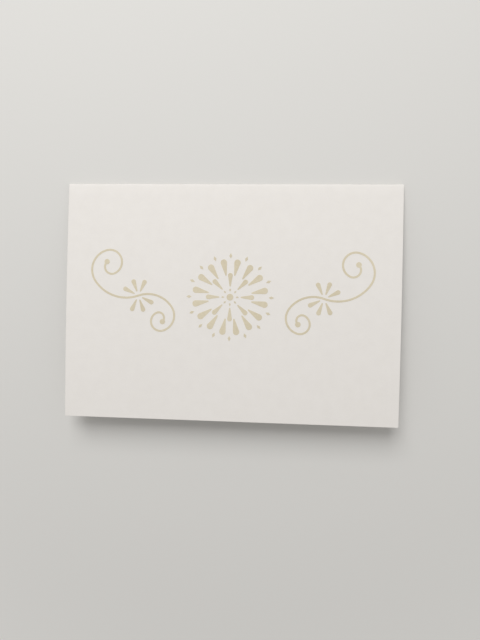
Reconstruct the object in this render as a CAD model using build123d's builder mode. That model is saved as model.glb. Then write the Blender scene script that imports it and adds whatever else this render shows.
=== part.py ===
from build123d import *
from math import cos, degrees, radians, sin
import os

# A folded greeting card, lying on its back leaf with the front leaf sprung open. Millimetres, +Z up.
# The fold runs along X at the +Y side, and the free edges of both leaves are at the -Y side.

# Card: one sheet of card stock, folded once
card_width = 148.0  # along the fold
leaf_length = 105.0  # from the outside of the fold to the free edge
stock = 0.4  # thickness of the card stock
fold_inner_radius = 0.25  # inside of the scored fold
rise_at_fold = 8.0  # slope of the front leaf where it leaves the fold, degrees
rise_at_edge = 4.0  # slope of the front leaf at its free edge, degrees

# Print: an ornament in one ink across the front leaf
ink_thickness = 0.05
ornament_from_fold = 50.0  # from the outside of the fold to the middle of the rosette, along the leaf

# Rosette of petals and lozenges in the middle of the ornament
petal_foot = 0.3  # radius at the foot of every petal
eye_radius = 1.5
eye_lozenge_count = 8
eye_lozenge_length = 1.5  # away from the middle of the rosette
eye_lozenge_width = 0.9
eye_lozenge_ring = 3.2
inner_petal_count = 8
inner_petal_start = 5.0  # from the middle of the rosette to the middle of the petal's foot
inner_petal_length = 4.6  # from the middle of the petal's foot to the middle of its tip
inner_petal_tip = 1.05
outer_petal_count = 16
outer_petal_start = 9.9
outer_petal_length = 5.6
outer_petal_tip = 1.4
rim_lozenge_length = 2.4
rim_lozenge_width = 1.3
rim_lozenge_ring = 18.2

# Scrolls: an S of compass arcs on each side of the rosette, with a fan of petals above and below its middle
stroke_width = 0.9
scroll_offset = 41.0  # from the middle of the rosette to the middle of the S
scroll_slope = 20.0  # the S falls outwards at its middle, degrees
arc_sweeps = (75, 110, 170, 160)  # turn of each arc, from the middle of the S to its end, degrees
outer_arc_radii = (17.0, 9.0, 5.5, 3.2)
inner_arc_radii = (13.0, 6.9, 4.2, 2.4)
scroll_ball_radius = 1.2
fan_petal_count = 3
fan_spread = 88.0  # from the first petal of a fan to its last, degrees
fan_petal_start = 2.2  # from the middle of the S to the middle of the petal's foot
fan_petal_length = 4.4
fan_petal_tip = 1.0

# Fold and front leaf as seen along X: two tangent arcs
fold_outer_radius = fold_inner_radius + stock
flat_length = leaf_length - fold_outer_radius
fold_axis = Vector(leaf_length / 2 - fold_outer_radius, fold_outer_radius)
fold_turn = 180 - rise_at_fold
leaf_turn = rise_at_fold - rise_at_edge
leaf_radius = flat_length / radians(leaf_turn)
leaf_start_angle = 90 - rise_at_fold
leaf_start = Vector(cos(radians(leaf_start_angle)), sin(radians(leaf_start_angle)))
leaf_axis = fold_axis + leaf_start * (fold_outer_radius - leaf_radius)
leaf_drop = leaf_radius * (1 - cos(radians(leaf_turn)))  # most that the leaf bends away from a plane on it

# Places on the ornament: X across the card and Y towards the fold, from the middle of the rosette
rosette_middle = Vector(0, 0)
right_scroll_middle = Vector(scroll_offset, 0)
left_scroll_middle = Vector(-scroll_offset, 0)


def fold_line(radius):
    """The fold's arc at a radius, from the back leaf to the front leaf."""
    return CenterArc(fold_axis, radius, -90, fold_turn)


def front_line(level):
    """The front leaf's arc at a level above its outside face."""
    return CenterArc(leaf_axis, leaf_radius + level, leaf_start_angle, leaf_turn)


def leaf_plane(place, heading=0.0):
    """Plane that touches the front leaf at a place on the ornament, with its local X along the heading."""
    from_leaf_start = ornament_from_fold - fold_outer_radius - place.Y
    angle = radians(leaf_start_angle + degrees(from_leaf_start / leaf_radius))
    outward = Vector(0, cos(angle), sin(angle))
    origin = Vector(place.X, leaf_axis.X, leaf_axis.Y) + outward * leaf_radius
    along_heading = Vector(1, 0, 0).rotate(Axis((0, 0, 0), outward), heading)
    return Plane(origin=origin, x_dir=along_heading, z_dir=outward)


def planes_around(middle, radius, angles):
    """Planes that touch the front leaf around a place, each with its local X pointing away from it."""
    planes = []
    for angle in angles:
        place = middle + Vector(radius, 0).rotate(Axis.Z, angle)
        planes.append(leaf_plane(place, angle))
    return planes


def full_ring(count, first_angle=0.0):
    """Angles spaced evenly round a full turn."""
    return [first_angle + step * 360 / count for step in range(count)]


def petal(length, tip_radius):
    """A teardrop along X, its foot and its tip equally far from the origin."""
    with BuildSketch() as outline:
        with Locations((-length / 2, 0)):
            Circle(petal_foot)
        with Locations((length / 2, 0)):
            Circle(tip_radius)
        make_hull()
    return outline.sketch


def lozenge(length, width):
    """A lozenge along X, centred on the origin."""
    with BuildSketch() as outline:
        Polygon((length / 2, 0), (0, width / 2), (-length / 2, 0), (0, -width / 2))
    return outline.sketch


def curl(heading, radii):
    """Half of the right-hand S: a stroke of tangent arcs that winds inwards, with a ball at its end."""
    with BuildLine() as path:
        point = right_scroll_middle
        tangent = Vector(1, 0).rotate(Axis.Z, heading)
        for radius, sweep in zip(radii, arc_sweeps):
            arc = JernArc(point, tangent, radius, sweep)
            point = arc @ 1
            tangent = arc % 1
    with BuildSketch() as stroke:
        trace(path.line, stroke_width)
        with Locations(point):
            Circle(scroll_ball_radius)
    return stroke.sketch


# Card
with BuildPart() as card:
    with BuildSketch(Plane.YZ):
        with BuildLine():
            back_outside = Line((-leaf_length / 2, 0), (fold_axis.X, 0))
            fold_line(fold_outer_radius)
            front_outside = front_line(0)
            back_inside = Line((-leaf_length / 2, stock), (fold_axis.X, stock))
            fold_line(fold_inner_radius)
            front_inside = front_line(-stock)
            Line(back_outside @ 0, back_inside @ 0)
            Line(front_outside @ 1, front_inside @ 1)
        make_face()
    extrude(amount=card_width / 2, both=True)

# Petals and lozenges of the print, each small enough to lie flat on the leaf
inner_petal_ring = inner_petal_start + inner_petal_length / 2
outer_petal_ring = outer_petal_start + outer_petal_length / 2
fan_petal_ring = fan_petal_start + fan_petal_length / 2
fan_step = fan_spread / (fan_petal_count - 1)
eye_lozenge_angles = full_ring(eye_lozenge_count)
inner_petal_angles = full_ring(inner_petal_count)
outer_petal_angles = full_ring(outer_petal_count, first_angle=180 / outer_petal_count)
rim_angles = full_ring(outer_petal_count)

with BuildPart() as petal_print:
    with BuildSketch(leaf_plane(rosette_middle)):
        Circle(eye_radius)
    with BuildSketch(*planes_around(rosette_middle, eye_lozenge_ring, eye_lozenge_angles)):
        add(lozenge(eye_lozenge_length, eye_lozenge_width))
    with BuildSketch(*planes_around(rosette_middle, inner_petal_ring, inner_petal_angles)):
        add(petal(inner_petal_length, inner_petal_tip))
    with BuildSketch(*planes_around(rosette_middle, outer_petal_ring, outer_petal_angles)):
        add(petal(outer_petal_length, outer_petal_tip))
    with BuildSketch(*planes_around(rosette_middle, rim_lozenge_ring, rim_angles)):
        add(lozenge(rim_lozenge_length, rim_lozenge_width))
    for scroll_middle, tilt in ((right_scroll_middle, -scroll_slope), (left_scroll_middle, scroll_slope)):
        for upright in (90, -90):
            first_angle = upright + tilt - fan_spread / 2
            fan_angles = [first_angle + step * fan_step for step in range(fan_petal_count)]
            with BuildSketch(*planes_around(scroll_middle, fan_petal_ring, fan_angles)):
                add(petal(fan_petal_length, fan_petal_tip))
    extrude(amount=ink_thickness)

# Scrolls of the print, cut out of a layer of ink that covers the whole front leaf
cut_clearance = 2 * ink_thickness  # from the leaf to the plane above the ink that the scrolls are cut from

with BuildPart() as scroll_print:
    with BuildSketch(Plane.YZ):
        with BuildLine():
            ink_under = front_line(0)
            ink_over = front_line(ink_thickness)
            Line(ink_under @ 0, ink_over @ 0)
            Line(ink_under @ 1, ink_over @ 1)
        make_face()
    extrude(amount=card_width / 2, both=True)
    with BuildSketch(leaf_plane(rosette_middle).offset(cut_clearance)):
        add(curl(-scroll_slope, outer_arc_radii))
        add(curl(180 - scroll_slope, inner_arc_radii))
        mirror(about=Plane.YZ)
    extrude(amount=-leaf_drop - cut_clearance, mode=Mode.INTERSECT)

card.part.label = "card"
petal_print.part.label = "petal_print"
scroll_print.part.label = "scroll_print"

os.makedirs("parts", exist_ok=True)
export_step(card.part, "parts/card.step")
export_step(petal_print.part, "parts/petal_print.step")
export_step(scroll_print.part, "parts/scroll_print.step")
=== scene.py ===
from math import cos, radians, sin

import bmesh
import bpy
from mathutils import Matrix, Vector


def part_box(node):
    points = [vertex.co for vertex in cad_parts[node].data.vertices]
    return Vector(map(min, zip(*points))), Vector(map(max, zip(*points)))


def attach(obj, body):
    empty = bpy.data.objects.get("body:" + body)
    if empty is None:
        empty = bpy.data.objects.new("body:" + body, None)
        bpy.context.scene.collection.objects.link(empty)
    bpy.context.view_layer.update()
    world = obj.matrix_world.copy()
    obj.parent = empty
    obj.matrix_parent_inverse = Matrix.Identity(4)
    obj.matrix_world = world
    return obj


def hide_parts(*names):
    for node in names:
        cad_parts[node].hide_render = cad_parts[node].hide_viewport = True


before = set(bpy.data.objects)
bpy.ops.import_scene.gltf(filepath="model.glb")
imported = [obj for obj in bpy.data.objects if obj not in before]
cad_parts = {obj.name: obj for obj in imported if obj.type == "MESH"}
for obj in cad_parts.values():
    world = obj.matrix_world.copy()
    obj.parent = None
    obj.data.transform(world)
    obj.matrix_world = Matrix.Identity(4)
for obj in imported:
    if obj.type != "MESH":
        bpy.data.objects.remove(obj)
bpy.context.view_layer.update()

scene = bpy.context.scene
scene.view_settings.view_transform = "Standard"

# Camera
# It looks down on the lying card, square to the middle of the front leaf and a little from the right of it.
# The lens is that of a phone held about 220 mm away.
camera_place = (0.01982, 0.01663, 0.21778)
camera_turn = (radians(-6.34), radians(4.232), radians(0.781))
lens_length = 27.06  # millimetres, as the sensor's width is
sensor_width = 36.0

camera_data = bpy.data.cameras.new("camera")
camera_data.lens = lens_length
camera_data.sensor_width = sensor_width
camera = bpy.data.objects.new("camera", camera_data)
camera.location = camera_place
camera.rotation_euler = camera_turn
scene.collection.objects.link(camera)
scene.camera = camera

# Card
# One sheet of heavy uncoated card stock, cut square on a guillotine, scored across its middle and folded.
# It lies on its back leaf, and the front leaf springs open from the pressed score.
card_low, card_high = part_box("card")
leaf_length = card_high.y - card_low.y
stock = 0.0004
fold_inner_radius = 0.00025
fold_radius = fold_inner_radius + stock  # outside of the fold
rise_at_fold = radians(8)  # slope of the front leaf where it leaves the fold
rise_at_edge = radians(4)  # slope of the front leaf at its free edge
score_depth = 0.00004  # how far the score presses the fold in below the leaves
score_shoulder = 0.0003  # length of the slope from a leaf down to the pressed fold
edge_round = 0.00006  # what the blade and handling take off a cut edge
corner_round = 0.00025  # what handling takes off the four loose corners

columns = 28  # faces along the fold
back_rows = 20
fold_rows = 24
front_rows = 24
edge_steps = 3
corner_steps = 8
facing = 0.9  # least share of a face's normal along an axis, for it to face that way
sharp_turn = radians(60)  # faces that turn by more meet in a cut edge or a corner
smooth_turn = radians(12)  # faces that turn by less are shaded as one surface

pulp_shade = (0.784, 0.754, 0.718, 1)
pulp_light = (0.802, 0.773, 0.738, 1)
fibre_light = (0.835, 0.809, 0.778, 1)
crack_light = (0.860, 0.839, 0.816, 1)
cut_shade = (0.735, 0.704, 0.664, 1)
cut_light = (0.850, 0.827, 0.801, 1)

along_fold = Vector((1, 0, 0))
fold_axis = Vector((0, card_high.y - fold_radius, fold_radius))
fold_turn = radians(180) - rise_at_fold
out_of_leaf = Vector((0, sin(rise_at_fold), cos(rise_at_fold)))  # where the front leaf leaves the fold
front_radius = (leaf_length - fold_radius) / (rise_at_fold - rise_at_edge)
front_axis = fold_axis + out_of_leaf * (fold_radius - front_radius)
shoulder_turn = score_shoulder / front_radius
front_turn = rise_at_fold - rise_at_edge - shoulder_turn
back_step = (fold_axis.y - score_shoulder - card_low.y) / back_rows


def points_of(made):
    """The points among what an operator has made on the sheet."""
    return [item for item in made if isinstance(item, bmesh.types.BMVert)]


def edges_of(made):
    """The edges among what an operator has made on the sheet."""
    return [item for item in made if isinstance(item, bmesh.types.BMEdge)]


def run_straight(sheet, row, step):
    """Carries the last row of the sheet on in a straight line, and gives the new row."""
    made = bmesh.ops.extrude_edge_only(sheet, edges=edges_of(row))["geom"]
    bmesh.ops.translate(sheet, verts=points_of(made), vec=step)
    return points_of(made) + edges_of(made)


def run_round(sheet, row, axis_place, turn, steps):
    """Carries the last row of the sheet on round an axis along the fold, and gives the new row."""
    spun = bmesh.ops.spin(sheet, geom=row, cent=axis_place, axis=along_fold, angle=turn, steps=steps)
    return spun["geom_last"]


def sharp_lines(sheet):
    """The edges where faces of the sheet meet at a sharp angle."""
    return [edge for edge in sheet.edges if edge.calc_face_angle(0) > sharp_turn]


def wear_round(sheet, lines, width, steps):
    """Rounds off sharp edges of the sheet."""
    bmesh.ops.bevel(
        sheet, geom=lines, offset=width, offset_type="OFFSET", segments=steps,
        profile=0.5, affect="EDGES", material=-1,
    )


# The outside grows row by row, from the back leaf's free edge, round the fold, to the front leaf's free edge.
sheet = bmesh.new()
cut_mark = sheet.faces.layers.float.new("cut_edge")  # 1 on the cut edges
depth_mark = sheet.verts.layers.float.new("stock_depth")  # from 0 outside the fold to 1 inside it
left_corner = sheet.verts.new((card_low.x, card_low.y, 0))
right_corner = sheet.verts.new((card_high.x, card_low.y, 0))
back_edge = sheet.edges.new((left_corner, right_corner))
bmesh.ops.subdivide_edges(sheet, edges=[back_edge], cuts=columns - 1)
row = sheet.verts[:] + sheet.edges[:]
for back_row in range(back_rows):
    row = run_straight(sheet, row, (0, back_step, 0))
row = run_straight(sheet, row, (0, score_shoulder, score_depth))
row = run_round(sheet, row, fold_axis, fold_turn, fold_rows)
row = run_round(sheet, row, front_axis, shoulder_turn, 1)
bmesh.ops.translate(sheet, verts=points_of(row), vec=out_of_leaf * score_depth)
run_round(sheet, row, front_axis, front_turn, front_rows)

# The stock's thickness goes inwards. The loose corners and then all cut edges are worn round.
bmesh.ops.recalc_face_normals(sheet, faces=sheet.faces[:])
inside = bmesh.ops.solidify(sheet, geom=sheet.faces[:], thickness=stock)["geom"]
for point in points_of(inside):
    point[depth_mark] = 1.0
sheet.normal_update()
for face in sheet.faces:
    at_side = abs(face.normal.x) > facing
    at_free_edge = face.normal.y < -facing and face.calc_center_median().y < 0
    if at_side or at_free_edge:
        face[cut_mark] = 1.0
corner_lines = [edge for edge in sharp_lines(sheet) if all(face[cut_mark] for face in edge.link_faces)]
wear_round(sheet, corner_lines, corner_round, corner_steps)
wear_round(sheet, sharp_lines(sheet), edge_round, edge_steps)
for face in sheet.faces:
    face.smooth = True
sheet_mesh = bpy.data.meshes.new("folded_sheet")
sheet.to_mesh(sheet_mesh)
sheet.free()
sheet_mesh.set_sharp_from_angle(angle=smooth_turn)
folded_sheet = bpy.data.objects.new("folded_sheet", sheet_mesh)
scene.collection.objects.link(folded_sheet)


def start_material(name, gloss):
    """A new material: itself, its nodes and its shader."""
    material = bpy.data.materials.new(name)
    material.use_nodes = True
    shader = material.node_tree.nodes["Principled BSDF"]
    shader.inputs["Specular IOR Level"].default_value = gloss
    return material, material.node_tree, shader


def put_node(tree, kind, inputs=None, **settings):
    """Puts a node in a material or a group, with its settings, and the values or links of its sockets."""
    node = tree.nodes.new(kind)
    for name, value in settings.items():
        setattr(node, name, value)
    for name, value in (inputs or {}).items():
        if isinstance(value, bpy.types.NodeSocket):
            tree.links.new(value, node.inputs[name])
        else:
            node.inputs[name].default_value = value
    return node


def put_ramp(tree, value, span, new_span=(0.0, 1.0)):
    """Carries a value from one span over to another, and stops at its ends."""
    ends = {"From Min": span[0], "From Max": span[1], "To Min": new_span[0], "To Max": new_span[1]}
    return put_node(tree, "ShaderNodeMapRange", {"Value": value, **ends}).outputs["Result"]


def put_math(tree, operation, first, second, third=0.0):
    """One step of arithmetic on values that change over the surface."""
    return put_node(tree, "ShaderNodeMath", {0: first, 1: second, 2: third}, operation=operation).outputs[0]


def put_blend(tree, share, first, second):
    """A colour between two others, which are a Mix node's sockets 6 and 7."""
    blend = put_node(tree, "ShaderNodeMix", {0: share, 6: first, 7: second}, data_type="RGBA")
    return blend.outputs[2]


def put_noise(tree, place, scale, detail, roughness=0.5):
    """Cloudy noise, with so many clouds to a metre."""
    sockets = {"Vector": place, "Scale": scale, "Detail": detail, "Roughness": roughness}
    return put_node(tree, "ShaderNodeTexNoise", sockets).outputs["Fac"]


def put_streaks(tree, place, lean, size, detail):
    """Noise drawn out in one direction, such as fibres or cracks, with so many to a metre each way."""
    sockets = {"Vector": place, "Rotation": (0, 0, radians(lean)), "Scale": size}
    laid = put_node(tree, "ShaderNodeMapping", sockets).outputs["Vector"]
    return put_noise(tree, laid, scale=1.0, detail=detail)


# The tooth of the paper, which the bare stock and the ink on it share.
tooth_height = 0.00004
grain_scale = 3000.0
fibre_size = (850, 4300, 4300)
fibre_leans = (14, -38, 71)  # the ways that the fibres lie, degrees
fibre_height = 0.8  # against the grain's own

paper_tooth = bpy.data.node_groups.new("paper_tooth", "ShaderNodeTree")
paper_tooth.interface.new_socket("Vector", in_out="INPUT", socket_type="NodeSocketVector")
paper_tooth.interface.new_socket("Cloud Scale", in_out="INPUT", socket_type="NodeSocketFloat")
for output in ("Cloud", "Fibre", "Height"):
    paper_tooth.interface.new_socket(output, in_out="OUTPUT", socket_type="NodeSocketFloat")
tooth_inputs = put_node(paper_tooth, "NodeGroupInput").outputs
paper_place = tooth_inputs["Vector"]
clouds = put_noise(paper_tooth, paper_place, tooth_inputs["Cloud Scale"], detail=4.0, roughness=0.55)
grain = put_noise(paper_tooth, paper_place, grain_scale, detail=3.0, roughness=0.6)
layers = [put_streaks(paper_tooth, paper_place, lean, fibre_size, detail=2.0) for lean in fibre_leans]
fibres = layers[0]
for layer in layers[1:]:
    fibres = put_math(paper_tooth, "MAXIMUM", fibres, layer)
height = put_math(paper_tooth, "MULTIPLY_ADD", fibres, fibre_height, grain)
put_node(paper_tooth, "NodeGroupOutput", {"Cloud": clouds, "Fibre": fibres, "Height": height})


def put_tooth(tree, place, cloud_scale):
    """The tooth of the paper in one material, with so many clouds to a metre."""
    sockets = {"Vector": place, "Cloud Scale": cloud_scale}
    return put_node(tree, "ShaderNodeGroup", sockets, node_tree=paper_tooth).outputs


def put_bump(tree, shader, height, strength):
    """Raises a surface by the tooth of the paper."""
    sockets = {"Height": height, "Strength": strength, "Distance": tooth_height}
    tree.links.new(put_node(tree, "ShaderNodeBump", sockets).outputs["Normal"], shader.inputs["Normal"])


# Bare stock: clouds of denser pulp, with paler fibres lying on top.
stock_gloss = 0.3
pulp_clouds = 210.0
cloud_span = (0.3, 0.7)  # of the noise, from thin to dense
fibre_span = (0.6, 0.85)  # of the noise, from no fibre to a fibre on top
fibre_share = 0.5  # how far a fibre on top takes its own tone

card_stock, nodes, shader = start_material("card_stock", stock_gloss)
place = put_node(nodes, "ShaderNodeTexCoord").outputs["Object"]
tooth = put_tooth(nodes, place, pulp_clouds)
pulp = put_blend(nodes, put_ramp(nodes, tooth["Cloud"], cloud_span), pulp_shade, pulp_light)
on_top = put_ramp(nodes, tooth["Fibre"], fibre_span, (0.0, fibre_share))
paper = put_blend(nodes, on_top, pulp, fibre_light)

# The stretched outside of the fold opens in short pale cracks along the score.
crack_reach = 0.0002  # how far past the fold's axis the cracks come in
crack_size = (450, 5200, 5200)
crack_span = (0.5, 0.68)  # of the noise, from whole to cracked
crack_share = 0.6  # how far a crack takes its own tone
crack_height = -1.5  # against the grain's own

across = put_node(nodes, "ShaderNodeSeparateXYZ", {"Vector": place}).outputs["Y"]
at_fold = put_ramp(nodes, across, (fold_axis.y - score_shoulder, fold_axis.y + crack_reach))
cracks = put_ramp(nodes, put_streaks(nodes, place, 0, crack_size, detail=3.0), crack_span)
cracked = put_math(nodes, "MULTIPLY", at_fold, cracks)
folded = put_blend(nodes, put_math(nodes, "MULTIPLY", cracked, crack_share), paper, crack_light)

# The cut edges show the plies of the stock as thin streaks along the sheet.
ply_size = (300, 7, 1)  # to a metre along the edge, and to one thickness of the stock
ply_span = (0.35, 0.65)  # of the noise, from a dark ply to a light one
ply_height = 2.0  # against the grain's own

depth = put_node(nodes, "ShaderNodeAttribute", attribute_name="stock_depth").outputs["Fac"]
cut_edge = put_node(nodes, "ShaderNodeAttribute", attribute_name="cut_edge").outputs["Fac"]
along_edge = put_node(nodes, "ShaderNodeVectorMath", {0: place, 1: (1, 1, 0)}, operation="DOT_PRODUCT")
ply_place = put_node(nodes, "ShaderNodeCombineXYZ", {"X": along_edge.outputs["Value"], "Y": depth})
plies = put_streaks(nodes, ply_place.outputs["Vector"], 0, ply_size, detail=3.0)
ply_colour = put_blend(nodes, put_ramp(nodes, plies, ply_span), cut_shade, cut_light)
nodes.links.new(put_blend(nodes, cut_edge, folded, ply_colour), shader.inputs["Base Color"])

# Fibres on top are a little smoother than the stock between them, and the cut edges rougher.
smooth_span = (0.4, 0.85)  # of the fibre noise, from between the fibres to on them
stock_roughness = (0.9, 0.72)  # between the fibres and on them
cut_roughness = 0.08  # what a cut adds
stock_bump = 0.7

rough = put_ramp(nodes, tooth["Fibre"], smooth_span, stock_roughness)
rough = put_math(nodes, "MULTIPLY_ADD", cut_edge, cut_roughness, rough)
nodes.links.new(rough, shader.inputs["Roughness"])
relief = put_math(nodes, "MULTIPLY_ADD", cracked, crack_height, tooth["Height"])
cut_plies = put_math(nodes, "MULTIPLY", plies, cut_edge)
relief = put_math(nodes, "MULTIPLY_ADD", cut_plies, ply_height, relief)
put_bump(nodes, shader, relief, stock_bump)
sheet_mesh.materials.append(card_stock)

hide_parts("card")
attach(folded_sheet, "root")

# Print
# A rosette of petals and lozenges between two scrolls with fans of petals, printed across the front leaf.
# A thin matt sand ink, which sinks into the stock, so its fibres show through and the tone drifts.
sand_pale = (0.685, 0.616, 0.465, 1)
sand_deep = (0.612, 0.543, 0.398, 1)
ink_gloss = 0.35
ink_mottles = 1100.0  # to a metre
ink_drifts = 70.0  # slow changes of tone to a metre
mottle_share = 0.6  # of the mottles in the depth of the ink
drift_share = 0.7  # of the drifts in it
depth_span = (0.45, 0.85)  # of that depth, from the pale tone to the deep one
bare_span = (0.66, 0.88)  # of the fibre noise, from an inked fibre to a bare one
bare_share = 0.55  # how far a bare fibre takes its own tone
ink_roughness = (0.58, 0.74)  # in thin ink and in dense
ink_bump = 0.5

sand_ink, nodes, shader = start_material("sand_ink", ink_gloss)
place = put_node(nodes, "ShaderNodeTexCoord").outputs["Object"]
tooth = put_tooth(nodes, place, ink_mottles)
drifted = put_math(nodes, "MULTIPLY", put_noise(nodes, place, ink_drifts, detail=2.0), drift_share)
ink_depth = put_math(nodes, "MULTIPLY_ADD", tooth["Cloud"], mottle_share, drifted)
inked = put_blend(nodes, put_ramp(nodes, ink_depth, depth_span), sand_pale, sand_deep)
bare = put_ramp(nodes, tooth["Fibre"], bare_span, (0.0, bare_share))
nodes.links.new(put_blend(nodes, bare, inked, fibre_light), shader.inputs["Base Color"])
rough = put_ramp(nodes, tooth["Cloud"], cloud_span, ink_roughness)
nodes.links.new(rough, shader.inputs["Roughness"])
put_bump(nodes, shader, tooth["Height"], ink_bump)
for print_name in ("petal_print", "scroll_print"):
    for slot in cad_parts[print_name].material_slots:
        slot.link = "OBJECT"
        slot.material = sand_ink

# Floor
# A plain pale studio floor under the card, which runs out into the backdrop without an edge.
# Round the card it takes light and shadow, and further out only its own tone is seen.
floor_tone = (0.71, 0.70, 0.675, 1)
floor_gloss = 0.2
floor_roughness = 0.8
floor_radius = 6.0
floor_sides = 96
floor_drop = 0.00005  # how far it lies below the back leaf
lit_radius = 0.12  # takes light and shadow out to here
fade_radius = 0.42  # the plain tone of the backdrop from here on

floor_shape = bmesh.new()
bmesh.ops.create_circle(floor_shape, cap_ends=True, segments=floor_sides, radius=floor_radius)
bmesh.ops.translate(floor_shape, verts=floor_shape.verts[:], vec=(0, 0, -floor_drop))
floor_mesh = bpy.data.meshes.new("floor")
floor_shape.to_mesh(floor_mesh)
floor_shape.free()
floor = bpy.data.objects.new("floor", floor_mesh)
scene.collection.objects.link(floor)


def put_seen(tree):
    """1 for what the camera sees, by reflection or through glass too, and 0 for light cast on things."""
    rays = put_node(tree, "ShaderNodeLightPath").outputs
    seen = put_math(tree, "ADD", rays["Is Camera Ray"], rays["Is Glossy Ray"])
    return put_math(tree, "ADD", seen, rays["Is Transmission Ray"])


floor_paint, nodes, shader = start_material("floor_paint", floor_gloss)
shader.inputs["Base Color"].default_value = floor_tone
shader.inputs["Roughness"].default_value = floor_roughness
place = put_node(nodes, "ShaderNodeTexCoord").outputs["Object"]
reach = put_node(nodes, "ShaderNodeVectorMath", {0: place}, operation="LENGTH").outputs["Value"]
fade = {"Value": reach, "From Min": lit_radius, "From Max": fade_radius}
far = put_node(nodes, "ShaderNodeMapRange", fade, interpolation_type="SMOOTHSTEP").outputs["Result"]
far_seen = put_math(nodes, "MULTIPLY", far, put_seen(nodes))
far_tone = put_node(nodes, "ShaderNodeEmission", {"Color": floor_tone, "Strength": 1.0})
tones = {0: far_seen, 1: shader.outputs[0], 2: far_tone.outputs[0]}
floor_mix = put_node(nodes, "ShaderNodeMixShader", tones)
nodes.links.new(floor_mix.outputs[0], nodes.nodes["Material Output"].inputs["Surface"])
floor_mesh.materials.append(floor_paint)

# Light
# One broad soft lamp beyond the fold and to the left, and an even pale light from all round.
# What the camera and reflections see beyond the floor is the floor's own tone, which sheds no light.
surround_tint = (1.0, 0.99, 0.975, 1)
surround_level = 0.44
lamp_place = Vector((-0.12, 0.60, 0.66))
lamp_size = 0.55
lamp_power = 5.8

surround = bpy.data.worlds.new("surround")
surround.use_nodes = True
nodes = surround.node_tree
surround_light = nodes.nodes["Background"]
surround_light.inputs["Color"].default_value = surround_tint
surround_light.inputs["Strength"].default_value = surround_level
backdrop = put_node(nodes, "ShaderNodeBackground", {"Color": floor_tone, "Strength": 1.0})
tones = {0: put_seen(nodes), 1: surround_light.outputs[0], 2: backdrop.outputs[0]}
surround_mix = put_node(nodes, "ShaderNodeMixShader", tones)
nodes.links.new(surround_mix.outputs[0], nodes.nodes["World Output"].inputs["Surface"])
scene.world = surround

lamp_data = bpy.data.lights.new("soft_lamp", "AREA")
lamp_data.size = lamp_size
lamp_data.energy = lamp_power
lamp = bpy.data.objects.new("soft_lamp", lamp_data)
lamp.location = lamp_place
lamp.rotation_euler = (-lamp_place).to_track_quat("-Z", "Y").to_euler()
scene.collection.objects.link(lamp)
